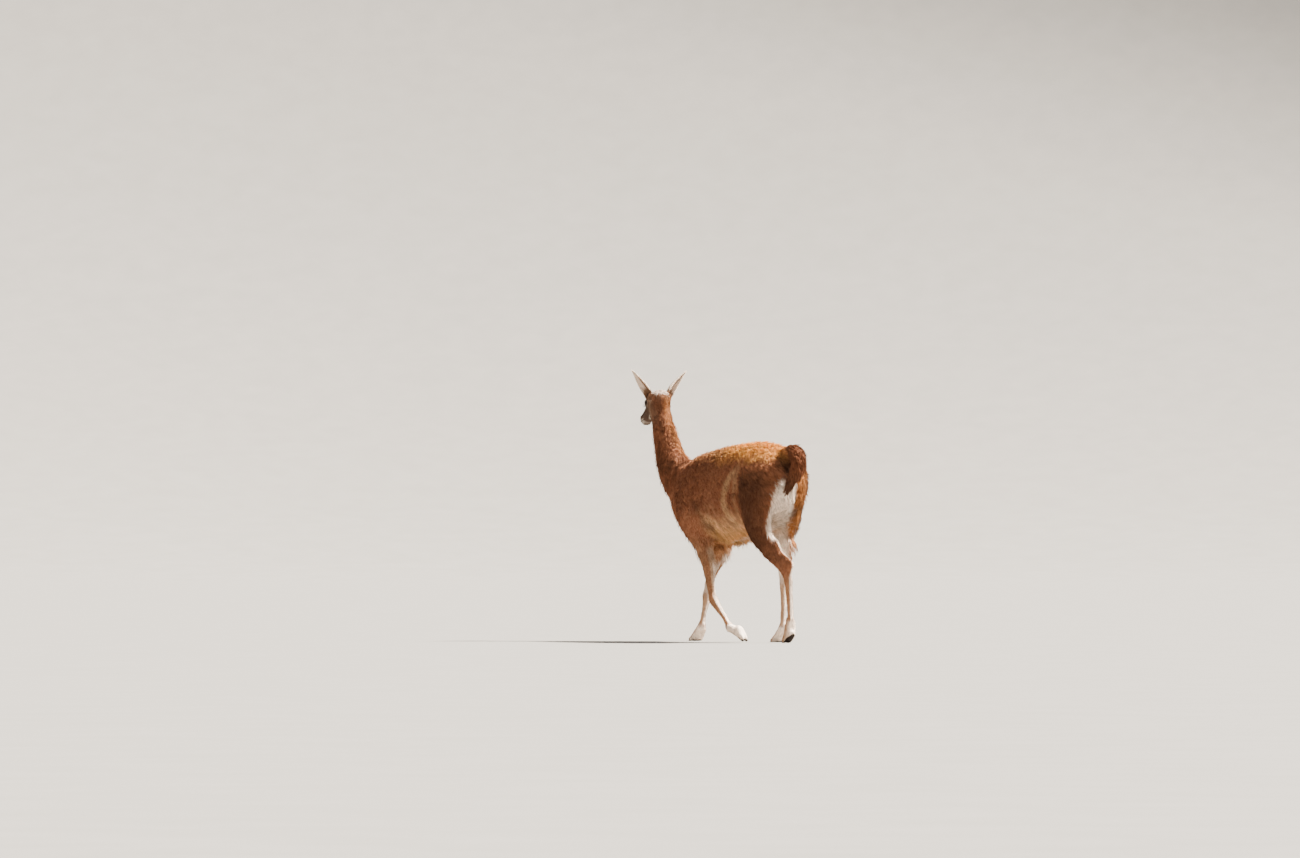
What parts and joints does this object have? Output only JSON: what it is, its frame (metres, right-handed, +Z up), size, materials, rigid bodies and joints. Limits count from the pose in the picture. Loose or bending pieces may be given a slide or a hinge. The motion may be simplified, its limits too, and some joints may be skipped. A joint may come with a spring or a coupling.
{
  "type": "guanaco",
  "caption": "Life-size still model of a walking guanaco with a long upright neck, pointed ears, arched tail and two-toed feet.",
  "frame": {"origin": "on the floor under the middle of the animal's bounding box", "axes": "+Z up, the animal faces -Y, its left side is +X"},
  "size_m": [0.4006, 1.5914, 1.465],
  "materials": {
    "coat": "matte wool",
    "leg_coat": "short matte hair",
    "face_coat": "short matte hair",
    "ear_coat": "short matte hair",
    "eye": "wet gloss",
    "nail": "satin horn"
  },
  "bodies": {
    "root": {"ear_left": "ear_coat", "ear_right": "ear_coat", "eye_left": "eye", "eye_right": "eye", "forecannon_left": "leg_coat", "forecannon_right": "leg_coat", "forefoot_left": "leg_coat", "forefoot_right": "leg_coat", "foreleg_left": "coat", "foreleg_right": "coat", "forenail_left_left": "nail", "forenail_left_right": "nail", "forenail_right_left": "nail", "forenail_right_right": "nail", "head": "face_coat", "hindcannon_left": "leg_coat", "hindcannon_right": "leg_coat", "hindfoot_left": "leg_coat", "hindfoot_right": "leg_coat", "hindnail_left_left": "nail", "hindnail_left_right": "nail", "hindnail_right_left": "nail", "hindnail_right_right": "nail", "neck": "coat", "shank_left": "coat", "shank_right": "coat", "tail": "coat", "thigh_left": "coat", "thigh_right": "coat", "torso": "coat"}
  },
  "joints": []
}
